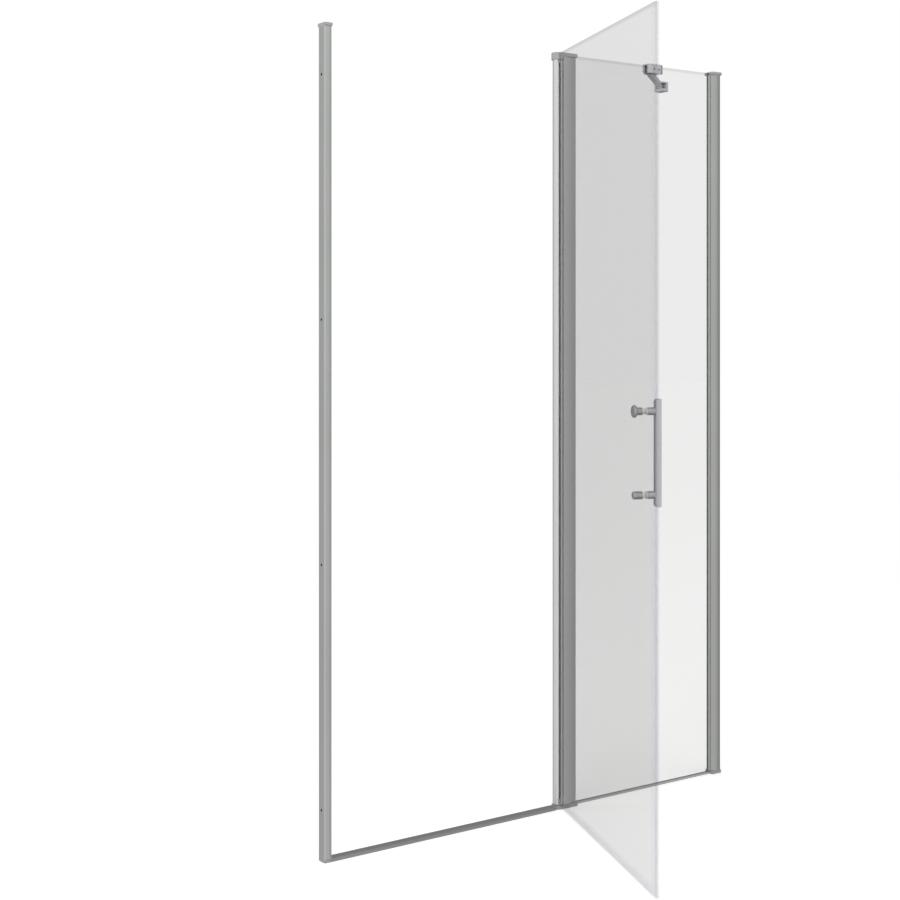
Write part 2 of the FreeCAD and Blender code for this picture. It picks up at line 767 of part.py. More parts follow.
def stabiliser_arm():
    """Upright bar with round ends that runs slantwise from the clamp back to the side wall."""
    start, end = [V(x, y, 0) for x, y in arm_pivots()]
    along = end - start
    along.normalize()
    side = V(-along.y, along.x, 0) * (arm_width / 2)
    tip = along * (arm_width / 2)
    edges = [Part.LineSegment(start + side, end + side).toShape(),
             Part.Arc(end + side, end + tip, end - side).toShape(),
             Part.LineSegment(end - side, start - side).toShape(),
             Part.Arc(start - side, start - tip, start + side).toShape()]
    arm = extrude(edges, arm_bottom, arm_top)
    arm = arm.makeChamfer(arm_edge, level_edges(arm, arm_bottom) + level_edges(arm, arm_top))
    return arm.cut([rod(x, y, arm_bottom - cut_overrun, arm_pin_radius + arm_pin_gap,
                        arm_height + 2 * cut_overrun) for x, y in arm_pivots()])


def pivot_screw_span(index):
    """Lowest and highest point of a pivot screw: index 0 is at the clamp and 1 at the wall bracket."""
    bottom = (arm_bottom - clamp_lug_thickness, bracket_bottom)[index]
    top = (clamp_top, bracket_top)[index] - arm_pin_top_depth
    return bottom, top


def pivot_screw_holes(index):
    """Counterbore for the head and hole for the shank of a pivot screw."""
    x, y = arm_pivots()[index]
    bottom, top = pivot_screw_span(index)
    start = bottom - cut_overrun
    return [rod(x, y, start, arm_pin_head_radius + arm_pin_gap, arm_pin_head_height + cut_overrun),
            rod(x, y, start, arm_pin_radius + arm_pin_gap, top - start)]


def stabiliser_pivot_screws():
    """Socket screws on which the two ends of the arm are held, in the clamp and in the bracket."""
    screws = []
    for index, (x, y) in enumerate(arm_pivots()):
        bottom, top = pivot_screw_span(index)
        head = rod(x, y, bottom, arm_pin_head_radius, arm_pin_head_height)
        shank = rod(x, y, bottom, arm_pin_radius, top - bottom - arm_pin_gap)
        socket = hex_socket(x, y, bottom, arm_pin_hex, arm_pin_head_height)
        screws.append(head.fuse(shank).removeSplitter().cut(socket))
    return Part.makeCompound(screws)


def clamp_slot_half():
    return glass_half + clamp_pad_thickness


def clamp_screw_places():
    z = clamp_bottom + clamp_screw_margin
    return [(clamp_middle + side * clamp_screw_spread / 2, z) for side in (-1, 1)]


def clamp_fork_plate(z0, z1):
    """One plate of the fork behind the rear jaw, between which the arm's end is screwed."""
    x, y = arm_pivots()[0]
    plate = box(x - clamp_lug_radius, x + clamp_lug_radius, clamp_slot_half(), y, z0, z1)
    return plate.fuse(rod(x, y, z0, clamp_lug_radius, z1 - z0))


def stabiliser_clamp():
    """Cast clamp over the top edge of the fixed glass, with a faceted front jaw and a fork at its back."""
    left, right = clamp_middle - clamp_width / 2, clamp_middle + clamp_width / 2
    plan = [(left, -clamp_front_corner), (left + clamp_facet, -clamp_front),
            (right - clamp_facet, -clamp_front), (right, -clamp_front_corner),
            (right, clamp_back), (left, clamp_back)]
    body = extrude(outline(plan), clamp_bottom, clamp_top)
    body = body.makeChamfer(clamp_edge, level_edges(body, clamp_top))
    slot_half = clamp_slot_half()
    body = body.cut(box(left - cut_overrun, right + cut_overrun, -slot_half, slot_half,
                        clamp_bottom - cut_overrun, glass_top + glass_slot_gap))
    rear_ends = [edge for edge in level_edges(body, clamp_bottom)
                 if edge.BoundBox.YMin > 0 and edge.BoundBox.XLength < hair_gap]
    body = body.makeChamfer(clamp_corner_cut, rear_ends)
    body = body.fuse([clamp_fork_plate(arm_bottom - clamp_lug_thickness, arm_bottom),
                      clamp_fork_plate(arm_top + arm_slot_gap, clamp_top)]).removeSplitter()
    screw_holes = [rod(x, -clamp_front - cut_overrun, z, clamp_screw_radius + hair_gap,
                       clamp_front + cut_overrun, INWARD) for x, z in clamp_screw_places()]
    return body.cut(pivot_screw_holes(0) + screw_holes)


def stabiliser_clamp_pads():
    """Two rubber pads between the jaws of the clamp and the glass."""
    left = clamp_middle - clamp_width / 2 + clamp_pad_rim
    right = clamp_middle + clamp_width / 2 - clamp_pad_rim
    pad = box(left, right, glass_half, clamp_slot_half(), clamp_bottom + clamp_pad_rim,
              glass_top - clamp_pad_rim)
    return both_sides(pad)


def stabiliser_grub_screws():
    """Two socket grub screws through the front jaw, which press the pad against the glass."""
    screws = []
    for x, z in clamp_screw_places():
        outer = -clamp_front + clamp_pad_rim
        body = rod(x, outer, z, clamp_screw_radius, -outer - clamp_slot_half(), INWARD)
        screws.append(body.cut(hex_socket(x, outer, z, clamp_screw_hex, clamp_screw_hex_depth, INWARD)))
    return Part.makeCompound(screws)


def stabiliser_wall_bracket():
    """Block with a slot for the arm's end; two screws go through the back of the slot into the wall."""
    left = right_wall - bracket_depth
    near, far = bracket_middle_y - bracket_width / 2, bracket_middle_y + bracket_width / 2
    body = box(left, right_wall, near, far, bracket_bottom, bracket_top)
    level = level_edges(body, bracket_bottom) + level_edges(body, bracket_top)
    body = body.makeChamfer(bracket_edge, [edge for edge in level if not edge_on_wall(edge, right_wall)])
    slot = box(left - cut_overrun, right_wall - bracket_wall_plate, near - cut_overrun,
               far - bracket_far_wall, arm_bottom, arm_top + arm_slot_gap)
    z = (arm_bottom + arm_top) / 2
    holes = [rod(left, bracket_middle_y + side * bracket_hole_spacing / 2, z, bracket_hole_radius,
                 bracket_depth + cut_overrun, ACROSS) for side in (-1, 1)]
    return body.cut([slot] + holes + pivot_screw_holes(1))


# Door, drawn closed

def hinge_column():
    """Round extruded tube with a deep glazing slot on the door side and hollow chambers round it."""
    tube = rod(axis_x, 0, column_bottom, column_radius, column_top - column_bottom)
    low, high = column_bottom - cut_overrun, column_top + cut_overrun
    slot_half = column_slot_width / 2
    slot = box(axis_x - column_radius - cut_overrun, axis_x + column_slot_past_axis, -slot_half, slot_half,
               low, high)
    hollow = rod(axis_x, 0, low, column_radius - column_wall, high - low)
    back = hollow.common(box(axis_x + column_slot_past_axis + column_wall, axis_x + column_radius,
                             -column_radius, column_radius, low, high))
    side = hollow.common(box(axis_x - column_radius + 2 * column_wall, axis_x + column_slot_past_axis,
                             slot_half + column_wall, column_radius, low, high))
    return tube.cut([slot, back, side, mirror_y(side)])


def column_plug(end_z, direction):
    """Moulded plug: a disc over the end of the column and a key in its slot, bored for the pivot pin."""
    disc = rod(axis_x, 0, end_z, plug_disc_radius, plug_disc_thickness, -direction)
    half = column_slot_width / 2 - hair_gap
    z0, z1 = sorted((end_z, end_z + direction.z * plug_key_height))
    key = box(axis_x - column_radius + column_wall, axis_x + column_slot_past_axis - hair_gap,
              -half, half, z0, z1)
    bore = rod(axis_x, 0, end_z - direction.z * plug_disc_thickness, pin_radius + pin_seat_gap,
               plug_disc_thickness + pin_in_plug, direction)
    return disc.fuse(key).removeSplitter().cut(bore)


def pivot_pin(end_z, direction):
    """Steel pin held in the plug; its free end turns in the bush."""
    disc_face = end_z - direction.z * plug_disc_thickness
    start = V(axis_x, 0, disc_face + direction.z * (plug_disc_thickness + pin_in_plug))
    length = plug_disc_thickness + pin_in_plug + pin_out_of_plug
    pin = Part.makeCylinder(pin_radius, length, start, -direction)
    tip_z = disc_face - direction.z * pin_out_of_plug
    return pin.makeChamfer(pin_end_chamfer, level_edges(pin, tip_z))


def door_glass():
    """Toughened pane with notched hinge corners and two holes for the handle."""
    left, right = door_free_edge, door_hinge_edge
    glass = box(left, right, -glass_half, glass_half, door_glass_bottom, glass_top)
    glass = glass.makeChamfer(glass_edge_chamfer, long_top_edges(glass))
    notches = [box(axis_x - notch_width, right + cut_overrun, -glass_thickness, glass_thickness, low, high)
               for low, high in ((0, notch_low), (notch_high, overall_height))]
    holes = [rod(handle_x, -glass_thickness, z, handle_hole_radius, 2 * glass_thickness, INWARD)
             for z in handle_heights()]
    return glass.cut(notches + holes)


def handle_heights():
    return [handle_middle_height + side * handle_hole_spacing / 2 for side in (-1, 1)]


def hinge_glazing_gasket():
    """U-shaped gasket that wedges the door glass in the column, with small lips outside the slot."""
    root = axis_x + column_slot_past_axis
    base = door_hinge_edge
    half = column_slot_width / 2
    mouth = axis_x - column_radius
    tip = axis_x - column_gasket_reach
    swell = half + column_gasket_lip
    points = [(root, -half), (mouth, -half), (mouth, -swell), (tip, -glass_half - column_gasket_lip),
              (tip, -glass_half), (base, -glass_half), (base, glass_half), (tip, glass_half),
              (tip, glass_half + column_gasket_lip), (mouth, swell), (mouth, half), (root, half)]
    return extrude(outline(points), notch_low, notch_high)


def door_edge_seal():
    """Clear extruded seal on the free edge: two legs on the glass and a hollow head with the magnet."""
    half = glass_half + edge_seal_leg
    tail = seal_tip + edge_seal_length
    seal = box(seal_tip, tail, -half, half, edge_seal_bottom, glass_top)
    seal = seal.makeFillet(edge_seal_corner, upright_edges(seal, [(seal_tip, -half), (seal_tip, half)]))
    low, high = edge_seal_bottom - cut_overrun, glass_top + cut_overrun
    glass_slot = box(door_free_edge, tail + cut_overrun, -glass_half, glass_half, low, high)
    chamber_x = door_free_edge - edge_seal_wall
    chamber = box(chamber_x - edge_seal_chamber, chamber_x, -glass_half, glass_half, low, high)
    return seal.cut([glass_slot, chamber, edge_magnet_space(low, high)])


def edge_magnet_space(z0, z1):
    start = seal_tip + edge_seal_wall
    return box(start, start + edge_magnet_thickness, -edge_magnet_width / 2, edge_magnet_width / 2, z0, z1)


def door_edge_magnet():
    return edge_magnet_space(edge_seal_bottom + magnet_end_margin, glass_top - magnet_end_margin)


def door_bottom_seal():
    """Clear extruded seal pushed on the lower edge of the door, with a fin down its inner side."""
    half = glass_half + bottom_seal_leg
    base = door_glass_bottom - bottom_seal_leg
    fin_root = base + hair_gap
    start = seal_tip + edge_seal_length + butt_gap
    end = axis_x - bottom_seal_start
    profile = [(-half, base), (-half, door_glass_bottom + bottom_seal_height),
               (-glass_half, door_glass_bottom + bottom_seal_height), (-glass_half, door_glass_bottom),
               (glass_half, door_glass_bottom), (glass_half, door_glass_bottom + bottom_seal_height),
               (half, door_glass_bottom + bottom_seal_height), (half, base)]
    fin = [(half - bottom_seal_fin, fin_root), (half, fin_root), (half, bottom_seal_tip),
           (half - bottom_seal_fin, bottom_seal_tip + hair_gap)]
    solids = []
    for points in (profile, fin):
        corners = [V(start, y, z) for y, z in points]
        solids.append(Part.Face(Part.makePolygon(corners + corners[:1])).extrude(V(end - start, 0, 0)))
    return solids[0].fuse(solids[1]).removeSplitter()


# Handle: outside is -Y on the closed door, inside is +Y

outer_seat = glass_half + washer_thickness


def edges_on_plane(shape, y):
    return [edge for edge in shape.Edges
            if abs(edge.BoundBox.YMin - y) < hair_gap and abs(edge.BoundBox.YMax - y) < hair_gap]


def handle_bar():
    """Rectangular bar with softened edges, cut back a little at both ends on the side of the glass."""
    half_width = handle_bar_width / 2
    low = handle_middle_height - handle_bar_length / 2
    high = handle_middle_height + handle_bar_length / 2
    near = -handle_bar_stand_off
    far = near - handle_bar_depth
    side = [V(handle_x - half_width, near, low + handle_bar_end_cut),
            V(handle_x - half_width, near, high - handle_bar_end_cut),
            V(handle_x - half_width, near - handle_bar_end_cut, high),
            V(handle_x - half_width, far, high), V(handle_x - half_width, far, low),
            V(handle_x - half_width, near - handle_bar_end_cut, low)]
    bar = Part.Face(Part.makePolygon(side + side[:1])).extrude(V(handle_bar_width, 0, 0))
    bar = bar.makeFillet(handle_bar_edge, upright_edges(bar, [(handle_x - half_width, near),
                                                              (handle_x + half_width, near),
                                                              (handle_x - half_width, far),
                                                              (handle_x + half_width, far)]))
    holes = [rod(handle_x, near + cut_overrun, z, standoff_spigot_radius + hair_gap,
                 standoff_spigot_length + hair_gap + cut_overrun, -INWARD) for z in handle_heights()]
    return bar.cut(holes)


def handle_standoffs():
    """Turned posts between the washers and the bar, each with a spigot in the bar and a bore for its stud."""
    posts = []
    length = handle_bar_stand_off - outer_seat
    for z in handle_heights():
        post = rod(handle_x, -outer_seat, z, standoff_radius, length, -INWARD)
        post = post.makeChamfer(standoff_edge, edges_on_plane(post, -outer_seat))
        spigot = rod(handle_x, -handle_bar_stand_off, z, standoff_spigot_radius,
                     standoff_spigot_length, -INWARD)
        bore = rod(handle_x, -outer_seat + cut_overrun, z, stud_radius + stud_gap,
                   stud_reach - outer_seat + cut_overrun + stud_gap, -INWARD)
        posts.append(post.fuse(spigot).removeSplitter().cut(bore))
    return Part.makeCompound(posts)


def handle_washers():
    """Clear washers on both faces of the glass, with collars that line its holes."""
    washers = []
    for z in handle_heights():
        for side in (-1, 1):
            way = V(0, side, 0)
            flange = rod(handle_x, side * glass_half, z, washer_radius, washer_thickness, way)
            collar = rod(handle_x, side * washer_collar_gap, z, handle_hole_radius - hair_gap,
                         glass_half - washer_collar_gap, way)
            bore = rod(handle_x, 0, z, stud_radius + stud_gap, outer_seat + cut_overrun, way)
            washers.append(flange.fuse(collar).removeSplitter().cut(bore))
    return Part.makeCompound(washers)


def handle_studs():
    studs = [rod(handle_x, -stud_reach, z, stud_radius, 2 * stud_reach, INWARD) for z in handle_heights()]
    return Part.makeCompound(studs)


def stud_bore(z):
    return rod(handle_x, outer_seat - cut_overrun, z, stud_radius + stud_gap,
               stud_reach - outer_seat + cut_overrun + stud_gap, INWARD)


def inner_knob():
    """Turned pull knob behind the upper standoff: a neck and a wide bevelled disc."""
    z = handle_heights()[1]
    neck = rod(handle_x, outer_seat, z, knob_neck_radius, knob_neck_length, INWARD)
    disc = rod(handle_x, outer_seat + knob_neck_length, z, knob_disc_radius,
               inner_length - knob_neck_length, INWARD)
    rims = edges_on_plane(disc, outer_seat + knob_neck_length)
    rims += edges_on_plane(disc, outer_seat + inner_length)
    disc = disc.makeChamfer(knob_edge, rims)
    return neck.fuse(disc).removeSplitter().cut(stud_bore(z))


def inner_cap_nut():
    """Turned cap nut behind the lower standoff."""
    z = handle_heights()[0]
    nut = rod(handle_x, outer_seat, z, cap_nut_radius, inner_length, INWARD)
    nut = nut.makeChamfer(cap_nut_edge, edges_on_plane(nut, outer_seat + inner_length))
    return nut.cut(stud_bore(z))


fixed_pieces = {
    "left_wall_channel": left_wall_channel,
    "left_strike_profile": left_strike_profile,
    "left_magnet_seal": left_magnet_seal,
    "left_magnet_strip": left_magnet_strip,
    "left_cap": left_cap,
    "left_foot": left_foot,
    "left_adjust_screws": lambda: Part.makeCompound(adjust_screw_set(left_screw_x)),
    "middle_post": middle_post,
    "middle_top_cap": middle_top_cap,
    "middle_bottom_block": middle_bottom_block,
    "cap_screws": cap_screws,
    "bottom_block_screws": bottom_block_screws,
    "upper_pivot_bush": lambda: pivot_bush(post_top, UP),
    "lower_pivot_bush": lambda: pivot_bush(foot_height, -UP),
    "right_wall_channel": right_wall_channel,
    "right_glass_profile": right_glass_profile,
    "right_cap": right_cap,
    "right_foot": right_foot,
    "right_adjust_screws": lambda: Part.makeCompound(adjust_screw_set(right_screw_x)),
    "fixed_glass": fixed_glass,
    "middle_glazing_gasket": lambda: glazing_gasket(middle_pocket, middle_tip),
    "right_glazing_gasket": lambda: glazing_gasket(right_web - profile_wall, right_tip),
    "panel_bottom_seal": panel_bottom_seal,
    "threshold_strip": threshold_strip,
    "stabiliser_clamp": stabiliser_clamp,
    "stabiliser_clamp_pads": stabiliser_clamp_pads,
    "stabiliser_grub_screws": stabiliser_grub_screws,
    "stabiliser_arm": stabiliser_arm,
    "stabiliser_pivot_screws": stabiliser_pivot_screws,
    "stabiliser_wall_bracket": stabiliser_wall_bracket,
}

door_pieces = {
    "door_glass": door_glass,
    "hinge_column": hinge_column,
    "column_top_plug": lambda: column_plug(column_top, -UP),
    "column_bottom_plug": lambda: column_plug(column_bottom, UP),
    "upper_pivot_pin": lambda: pivot_pin(column_top, -UP),
    "lower_pivot_pin": lambda: pivot_pin(column_bottom, UP),
    "hinge_glazing_gasket": hinge_glazing_gasket,
    "door_edge_seal": door_edge_seal,
    "door_edge_magnet": door_edge_magnet,
    "door_bottom_seal": door_bottom_seal,
    "handle_bar": handle_bar,
    "handle_standoffs": handle_standoffs,
    "handle_washers": handle_washers,
    "handle_studs": handle_studs,
    "inner_knob": inner_knob,
    "inner_cap_nut": inner_cap_nut,
}

os.makedirs("parts", exist_ok=True)
for name, make in fixed_pieces.items():
    save(name, make())
for name, make in door_pieces.items():
    save(name, swung(make()))
print(len(fixed_pieces) + len(door_pieces), "pieces")
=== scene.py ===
import math

import bpy
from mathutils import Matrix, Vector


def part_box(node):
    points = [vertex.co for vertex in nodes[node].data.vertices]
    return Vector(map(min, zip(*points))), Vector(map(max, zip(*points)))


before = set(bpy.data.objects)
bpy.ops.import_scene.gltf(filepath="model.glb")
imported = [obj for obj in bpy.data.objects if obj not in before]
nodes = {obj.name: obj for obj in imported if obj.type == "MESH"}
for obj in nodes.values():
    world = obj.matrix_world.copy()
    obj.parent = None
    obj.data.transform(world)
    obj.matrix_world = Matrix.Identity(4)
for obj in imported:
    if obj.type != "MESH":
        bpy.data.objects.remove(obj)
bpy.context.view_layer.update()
scene = bpy.context.scene
scene.view_settings.view_transform = "Standard"


# Studio: the camera stands outside the shower on the left, at the height of a seated person's eyes,
# and its sensor is shifted down so that the posts stay upright in the picture.
eye = (-2.2546, -2.9204, 1.1853)
level = 90
turn_to_right = 34.372
lens_mm = 60.78
sensor_mm = 36
lens_drop = -0.1407

camera_data = bpy.data.cameras.new("camera")
camera_data.lens = lens_mm
camera_data.sensor_width = sensor_mm
camera_data.shift_y = lens_drop
camera = bpy.data.objects.new("camera", camera_data)
camera.location = eye
camera.rotation_euler = (math.radians(level), 0, math.radians(-turn_to_right))
scene.collection.objects.link(camera)
scene.camera = camera


# Light: a white tent all round, with one large soft lamp high on the left. To metal the tent is brightest on
# the left and in front, and falls off to the right, behind and downwards, which gives the posts their form.
def linear(text):
    """The linear colour of an sRGB hex value."""
    parts = [int(text[i:i + 2], 16) / 255 for i in (1, 3, 5)]
    return [p / 12.92 if p <= 0.04045 else ((p + 0.055) / 1.055) ** 2.4 for p in parts] + [1.0]


def add(tree, kind, links=None, **settings):
    """Adds one node with its settings, its plain socket values and its links from other nodes' outputs."""
    node = tree.nodes.new(kind)
    for name, value in settings.items():
        setattr(node, name, value)
    for socket, value in (links or {}).items():
        if isinstance(value, bpy.types.NodeSocket):
            tree.links.new(value, node.inputs[socket])
        else:
            node.inputs[socket].default_value = value
    return node


tent_fill = 0.80
tent_white = "#FFFFFF"
tent_shades = [(0.00, "#C4C4C4"), (0.33, "#EDEDED"), (0.50, "#F2F2F2"), (0.64, "#FFFFFF")]
tent_bright_side = (-0.75, -0.66, 0.0)
tent_dark_from = -0.75
tent_bright_from = 0.45
tent_dark_share = 0.41
tent_bright_share = 1.0
straight_down = -1.0
straight_up = 1.0

world = bpy.data.worlds.new("tent")
world.use_nodes = True
tree = world.node_tree
tree.nodes.clear()
place = add(tree, "ShaderNodeTexCoord")
direction = add(tree, "ShaderNodeSeparateXYZ", {0: place.outputs["Generated"]})
height = add(tree, "ShaderNodeMapRange", {0: direction.outputs["Z"], 1: straight_down, 2: straight_up})
ramp = add(tree, "ShaderNodeValToRGB", {0: height.outputs[0]})
while len(ramp.color_ramp.elements) < len(tent_shades):
    ramp.color_ramp.elements.new(0.5)
for element, (at, shade) in zip(ramp.color_ramp.elements, tent_shades):
    element.position = at
    element.color = linear(shade)
rays = add(tree, "ShaderNodeLightPath")
seen = add(tree, "ShaderNodeMath", {0: rays.outputs["Is Camera Ray"], 1: rays.outputs["Is Transmission Ray"]},
           operation="MAXIMUM")
fill = add(tree, "ShaderNodeBackground", {"Color": ramp.outputs[0], "Strength": tent_fill})
facing = add(tree, "ShaderNodeVectorMath", {0: place.outputs["Generated"], 1: tent_bright_side},
             operation="DOT_PRODUCT")
fall_off = add(tree, "ShaderNodeMapRange", {0: facing.outputs["Value"], 1: tent_dark_from, 2: tent_bright_from,
                                            3: tent_dark_share, 4: tent_bright_share})
mirror = add(tree, "ShaderNodeBackground", {"Color": ramp.outputs[0], "Strength": fall_off.outputs[0]})
white = add(tree, "ShaderNodeBackground", {"Color": linear(tent_white), "Strength": 1.0})
lit = add(tree, "ShaderNodeMixShader",
          {0: rays.outputs["Is Glossy Ray"], 1: fill.outputs[0], 2: mirror.outputs[0]})
shown = add(tree, "ShaderNodeMixShader", {0: seen.outputs[0], 1: lit.outputs[0], 2: white.outputs[0]})
add(tree, "ShaderNodeOutputWorld", {0: shown.outputs[0]})
scene.world = world

lamp_size = 2.4
lamp_watts = 60
lamp_at = (-2.6, -2.2, 3.4)
lamp_tilt = 48
lamp_turn = -45
lamp_data = bpy.data.lights.new("soft_lamp", "AREA")
lamp_data.shape = "SQUARE"
lamp_data.size = lamp_size
lamp_data.energy = lamp_watts
lamp = bpy.data.objects.new("soft_lamp", lamp_data)
lamp.location = lamp_at
lamp.rotation_euler = (math.radians(lamp_tilt), 0, math.radians(lamp_turn))
lamp.visible_glossy = False
scene.collection.objects.link(lamp)


# Floor: smooth white vinyl under the shower. It keeps the soft shadow of the door, and its own glow brings it
# up to the white of the tent. Metal doesn't mirror it, and shows the lower part of the tent in its place.
floor_reach = 40.0
floor_albedo = "#E4E4E3"
floor_glow = 0.39

bpy.ops.object.select_all(action="DESELECT")
bpy.ops.mesh.primitive_plane_add(size=floor_reach, location=(0, 0, 0))
floor = bpy.context.object
floor.name = "floor"
vinyl = bpy.data.materials.new("white_vinyl_floor")
vinyl.use_nodes = True
tree = vinyl.node_tree
tree.nodes.clear()
rays = add(tree, "ShaderNodeLightPath")
seen = add(tree, "ShaderNodeMath", {0: rays.outputs["Is Camera Ray"], 1: rays.outputs["Is Transmission Ray"]},
           operation="MAXIMUM")
glow_strength = add(tree, "ShaderNodeMath", {0: seen.outputs[0], 1: floor_glow}, operation="MULTIPLY")
matte = add(tree, "ShaderNodeBsdfDiffuse", {"Color": linear(floor_albedo)})
glow = add(tree, "ShaderNodeEmission", {"Strength": glow_strength.outputs[0]})
both = add(tree, "ShaderNodeAddShader", {0: matte.outputs[0], 1: glow.outputs[0]})
add(tree, "ShaderNodeOutputMaterial", {0: both.outputs[0]})
floor.data.materials.append(vinyl)
floor.visible_glossy = False


# Posts and extrusions: aluminium pushed through a die and satin anodised. The die leaves faint lines along
# each profile, and the oxide layer softens its reflections. The greys differ from piece to piece to paint in
# how light falls on each, and each grey is slightly uneven in itself.
def extruded_aluminium(name, shade, shade_dark, along, roughness):
    """Satin anodised aluminium with die lines that run along one axis: 0 for X, 1 for Y or 2 for Z."""
    # Real die lines are finer. They are drawn 1.2 mm wide so that they show from close by.
    die_line = 0.0012
    die_length = 0.35
    line_depth = 0.0002
    line_strength = 0.12
    cloud = 0.16
    smoother = 0.04
    rougher = 0.05
    stretch = [1 / die_line] * 3
    stretch[along] = 1 / die_length
    material = bpy.data.materials.new(name)
    material.use_nodes = True
    tree = material.node_tree
    surface = tree.nodes["Principled BSDF"]
    place = add(tree, "ShaderNodeTexCoord")
    drawn = add(tree, "ShaderNodeMapping", {"Vector": place.outputs["Object"], "Scale": stretch})
    lines = add(tree, "ShaderNodeTexNoise", {"Vector": drawn.outputs[0], "Scale": 1.0, "Detail": 2.0})
    clouds = add(tree, "ShaderNodeTexNoise",
                 {"Vector": place.outputs["Object"], "Scale": 1 / cloud, "Detail": 2.0})
    tone = add(tree, "ShaderNodeMath", {0: lines.outputs[0], 1: clouds.outputs[0]}, operation="MULTIPLY")
    colour = add(tree, "ShaderNodeMix", {0: tone.outputs[0], 6: linear(shade), 7: linear(shade_dark)},
                 data_type="RGBA")
    rough = add(tree, "ShaderNodeMapRange",
                {0: lines.outputs[0], 3: roughness - smoother, 4: roughness + rougher})
    bump = add(tree, "ShaderNodeBump",
               {"Strength": line_strength, "Distance": line_depth, "Height": lines.outputs[0]})
    tree.links.new(colour.outputs[2], surface.inputs["Base Color"])
    tree.links.new(rough.outputs[0], surface.inputs["Roughness"])
    tree.links.new(bump.outputs[0], surface.inputs["Normal"])
    surface.inputs["Metallic"].default_value = 1.0
    return material


# Each post has its own grey of the one aluminium: the column's is lighter as painted light, the right post's
# darker as painted shade.
for finish, shade, shade_dark, names in (
        ("left_post", "#C4C6C4", "#B4B6B4", ("left_wall_channel", "left_strike_profile")),
        ("column", "#E0E2E0", "#D0D2D0", ("hinge_column",)),
        ("middle_post", "#CACCCA", "#BABCBA", ("middle_post",)),
        ("right_post", "#B1B3B1", "#A1A3A1", ("right_wall_channel", "right_glass_profile"))):
    upright_aluminium = extruded_aluminium("anodised_aluminium_" + finish, shade, shade_dark, 2, 0.30)
    for name in names:
        nodes[name].data.materials[0] = upright_aluminium

# The stabiliser's parts get lighter greys than the posts, the arm the lightest, as painted light on faces that
# stand in shade.
for finish, shade, shade_dark, names in (
        ("clamp_and_bracket", "#D6D7D9", "#C6C7C9", ("stabiliser_clamp", "stabiliser_wall_bracket")),
        ("arm", "#F2F2F4", "#E6E6E8", ("stabiliser_arm",))):
    stabiliser_aluminium = extruded_aluminium("anodised_aluminium_stabiliser_" + finish, shade, shade_dark,
                                              1, 0.34)
    for name in names:
        nodes[name].data.materials[0] = stabiliser_aluminium

# The threshold's darker grey is painted shade along the foot of the door.
nodes["threshold_strip"].data.materials[0] = extruded_aluminium(
    "anodised_aluminium_threshold", "#A6A8A6", "#969896", 0, 0.36)


# Caps and feet: moulded polyamide, silver grey on top and a little darker below. Spark-eroded moulds give
# them a fine grain that breaks up the light, and the melt sets in slightly uneven clouds. The bushes of the
# hinge are moulded in the same way, of white acetal.
def moulded_polyamide(name, shade, shade_dark, roughness):
    """Moulded plastic with the grain of a spark-eroded mould."""
    # The real grain is finer. It is drawn 0.4 mm wide so that it shows from close by.
    grain = 0.0004
    grain_depth = 0.0001
    grain_strength = 0.15
    cloud = 0.012
    smoother = 0.05
    rougher = 0.08
    polyamide_ior = 1.53
    material = bpy.data.materials.new(name)
    material.use_nodes = True
    tree = material.node_tree
    surface = tree.nodes["Principled BSDF"]
    place = add(tree, "ShaderNodeTexCoord")
    pits = add(tree, "ShaderNodeTexNoise", {"Vector": place.outputs["Object"], "Scale": 1 / grain})
    clouds = add(tree, "ShaderNodeTexNoise", {"Vector": place.outputs["Object"], "Scale": 1 / cloud})
    colour = add(tree, "ShaderNodeMix", {0: clouds.outputs[0], 6: linear(shade), 7: linear(shade_dark)},
                 data_type="RGBA")
    rough = add(tree, "ShaderNodeMapRange",
                {0: pits.outputs[0], 3: roughness - smoother, 4: roughness + rougher})
    bump = add(tree, "ShaderNodeBump",
               {"Strength": grain_strength, "Distance": grain_depth, "Height": pits.outputs[0]})
    tree.links.new(colour.outputs[2], surface.inputs["Base Color"])
    tree.links.new(rough.outputs[0], surface.inputs["Roughness"])
    tree.links.new(bump.outputs[0], surface.inputs["Normal"])
    surface.inputs["IOR"].default_value = polyamide_ior
    return material


for finish, shade, shade_dark, roughness, names in (
        ("moulded_polyamide_silver", "#A9ABA9", "#9DA09D", 0.42, ("left_cap", "middle_top_cap", "right_cap")),
        ("moulded_polyamide_grey", "#A4A6A5", "#989A99", 0.50,
         ("left_foot", "middle_bottom_block", "right_foot", "column_top_plug", "column_bottom_plug")),
        ("moulded_acetal_white", "#DEDDD9", "#D4D3CF", 0.38, ("upper_pivot_bush", "lower_pivot_bush"))):
    plastic = moulded_polyamide(finish, shade, shade_dark, roughness)
    for name in names:
        nodes[name].data.materials[0] = plastic


# Glass: 6 mm toughened float with polished edges. Seen through the face it only dims what is behind it. A
# deeper tint is painted in a band under the top edge for the darker look of the edge, where light crosses more
# glass, and the rollers of the furnace leave a faint wave.
# Panes and seals stand many surfaces deep in one line of sight, and light has to get through them all.
surfaces_in_line = 32
scene.cycles.transparent_max_bounces = surfaces_in_line


